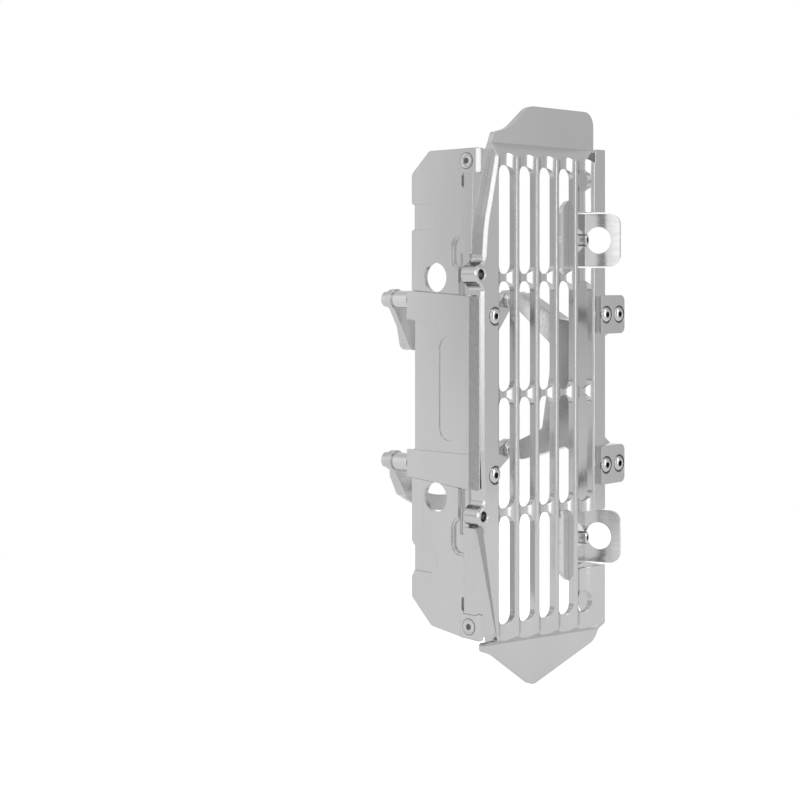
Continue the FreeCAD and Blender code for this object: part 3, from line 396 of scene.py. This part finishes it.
def compass(tree, turn, marks):
    """Grey that follows the marks around the room. A turn of 0 looks along -X."""
    band = add(tree, "ShaderNodeValToRGB")
    places = sorted(((degrees + 180) % 360 / 360, level) for degrees, level in marks)
    steps = band.color_ramp
    steps.interpolation = "EASE"
    seam = (places[0][1] + places[-1][1]) / 2
    for element in steps.elements:
        element.color = grey(seam)
    for position, level in places:
        steps.elements.new(position).color = grey(level)
    tree.links.new(turn, band.inputs["Fac"])
    return band.outputs["Color"]


def blend(tree, factor, first):
    """Mix of two colours, with the second left to be set."""
    mix = add(tree, "ShaderNodeMix", data_type="RGBA")
    tree.links.new(factor, mix.inputs["Factor"])
    tree.links.new(first, mix.inputs["A"])
    return mix


def room_light(tree):
    """Studio of white panels and dark screens."""
    place = add(tree, "ShaderNodeTexCoord")
    split = add(tree, "ShaderNodeSeparateXYZ")
    tree.links.new(place.outputs["Generated"], split.inputs["Vector"])
    angle = add(tree, "ShaderNodeMath", operation="ARCTAN2")
    tree.links.new(split.outputs["Y"], angle.inputs[0])
    tree.links.new(split.outputs["X"], angle.inputs[1])
    turn = spread(tree, angle.outputs["Value"], 0, 1, -math.pi, math.pi)
    under = spread(tree, split.outputs["Z"], 1, 0, LOW_FROM, LOW_TO)
    sides = blend(tree, under, compass(tree, turn, ROOM))
    tree.links.new(compass(tree, turn, ROOM_LOW), sides.inputs["B"])
    height = add(tree, "ShaderNodeMath", operation="ABSOLUTE")
    tree.links.new(split.outputs["Z"], height.inputs[0])
    steep = spread(tree, height.outputs["Value"], 0, 1, STEEP_FROM, STEEP_TO)
    whole = blend(tree, steep, sides.outputs["Result"])
    whole.inputs["B"].default_value = grey(ROOM_STEEP)
    node = background(tree, WHITE)
    tree.links.new(whole.outputs["Result"], node.inputs["Color"])
    return node


def make_world():
    """White backdrop for the eye, the studio for what the metal mirrors, even fill light for the rest."""
    world = bpy.data.worlds.new("studio")
    world.use_nodes = True
    bpy.context.scene.world = world
    tree = world.node_tree
    tree.nodes.clear()
    output = add(tree, "ShaderNodeOutputWorld")
    path, backdrop = backdrop_rays(tree)
    lit = add(tree, "ShaderNodeMixShader")
    tree.links.new(path.outputs["Is Glossy Ray"], lit.inputs["Fac"])
    tree.links.new(background(tree, FILL_LIGHT).outputs["Background"], lit.inputs[1])
    tree.links.new(room_light(tree).outputs["Background"], lit.inputs[2])
    white = background(tree, WHITE).outputs["Background"]
    either(tree, backdrop, lit.outputs["Shader"], white, output.inputs["Surface"])


def make_floor(level):
    """Large pale floor, white to the eye but for the object's shadow."""
    half = FLOOR_HALF
    mesh = bpy.data.meshes.new("floor")
    corners = [(-half, -half, level), (half, -half, level), (half, half, level), (-half, half, level)]
    mesh.from_pydata(corners, [], [(0, 1, 2, 3)])
    floor = bpy.data.objects.new("floor", mesh)
    bpy.context.scene.collection.objects.link(floor)
    material, tree, shader = new_material("floor")
    shader.inputs["Base Color"].default_value = grey(FLOOR_GREY)
    shader.inputs["Roughness"].default_value = 1.0
    shader.inputs["Specular IOR Level"].default_value = 0.0
    path, backdrop = backdrop_rays(tree)
    faint = add(tree, "ShaderNodeMath", operation="MULTIPLY")
    faint.inputs[1].default_value = FLOOR_MIRRORED
    tree.links.new(path.outputs["Is Glossy Ray"], faint.inputs[0])
    shown = add(tree, "ShaderNodeMath", operation="MAXIMUM")
    tree.links.new(backdrop, shown.inputs[0])
    tree.links.new(faint.outputs["Value"], shown.inputs[1])
    glow = add(tree, "ShaderNodeEmission")
    glow.inputs["Strength"].default_value = FLOOR_GLOW
    bright = add(tree, "ShaderNodeAddShader")
    tree.links.new(shader.outputs["BSDF"], bright.inputs[0])
    tree.links.new(glow.outputs["Emission"], bright.inputs[1])
    surface = tree.nodes["Material Output"].inputs["Surface"]
    either(tree, shown.outputs["Value"], shader.outputs["BSDF"], bright.outputs["Shader"], surface)
    mesh.materials.append(material)


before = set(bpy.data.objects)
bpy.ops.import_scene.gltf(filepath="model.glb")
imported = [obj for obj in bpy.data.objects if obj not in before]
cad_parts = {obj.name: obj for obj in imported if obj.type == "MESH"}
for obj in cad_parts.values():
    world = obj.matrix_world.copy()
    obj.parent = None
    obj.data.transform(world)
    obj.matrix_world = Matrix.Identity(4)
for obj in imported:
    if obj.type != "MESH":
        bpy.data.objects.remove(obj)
cad_low, cad_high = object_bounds()

metals = {name: metal(name, *finish) for name, finish in FINISHES.items()}
dress_solids(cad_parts, metals)
dress_screws(metals)
cheek("upper_cheek", UPPER_CHEEK, UPPER_CHEEK_FRONT, metals)
cheek("lower_cheek", LOWER_CHEEK, LOWER_CHEEK_FRONT, metals)

make_camera()
make_lamps()
make_world()
make_floor(cad_low[2] - FLOOR_GAP * MM)
bpy.context.scene.view_settings.view_transform = "Standard"
